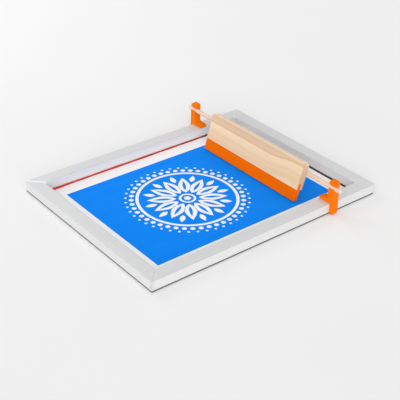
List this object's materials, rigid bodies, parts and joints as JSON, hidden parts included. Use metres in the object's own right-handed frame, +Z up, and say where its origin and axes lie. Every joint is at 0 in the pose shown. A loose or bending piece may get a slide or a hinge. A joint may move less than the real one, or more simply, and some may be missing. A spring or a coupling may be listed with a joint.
{
  "type": "screen printing frame",
  "caption": "Recessed aluminium screen printing frame with a stretched mesh, a stencil, and a dowel rest on hooks that slides along the rails and props up a wooden squeegee with a rubber blade.",
  "frame": {"origin": "middle of the screen's underside, on the surface the frame lies on", "axes": "+X along the long rails, towards the end where the squeegee rest stands; +Y across the frame; +Z up, out of the printing well"},
  "size_m": [0.38, 0.3186, 0.0564],
  "materials": {
    "rail_aluminium": "satin, fine lengthwise extrusion lines",
    "key_nylon": "moulded",
    "mesh_polyester": "plain monofilament weave, stretched",
    "glue_red": "cured bead",
    "emulsion_blue": "satin film",
    "hook_plastic": "satin, faint print layers",
    "dowel_wood": "sanded",
    "handle_pine": "sanded, clear grain",
    "blade_rubber": "matte",
    "screw_steel": "zinc plated"
  },
  "bodies": {
    "frame": {"rail_near": "rail_aluminium", "rail_far": "rail_aluminium", "rail_left": "rail_aluminium", "rail_right": "rail_aluminium", "corner_key_near_left": "key_nylon", "corner_key_near_right": "key_nylon", "corner_key_far_right": "key_nylon", "corner_key_far_left": "key_nylon", "screen_mesh": "mesh_polyester", "glue_line_near": "glue_red", "glue_line_far": "glue_red", "glue_line_left": "glue_red", "glue_line_right": "glue_red", "emulsion_stencil": "emulsion_blue"},
    "rest": {"dowel_hook_near": "hook_plastic", "dowel_hook_far": "hook_plastic"},
    "dowel": {"dowel": "dowel_wood"},
    "squeegee": {"squeegee_handle": "handle_pine", "squeegee_blade": "blade_rubber", "blade_screw_1": "screw_steel", "blade_screw_2": "screw_steel", "blade_screw_3": "screw_steel"}
  },
  "joints": [
    {"name": "rest_slide", "type": "slide", "parent": "frame", "child": "rest", "axis": [1, 0, 0], "range_m": [0, 0.072]},
    {"name": "dowel_spin", "type": "hinge", "parent": "rest", "child": "dowel", "pos_m": [0.1061, 0, 0.0384], "axis": [0, 1, 0], "continuous": true},
    {"name": "squeegee_stroke", "type": "slide", "parent": "frame", "child": "squeegee", "axis": [1, 0, 0], "range_m": [-0.245, 0]}
  ]
}
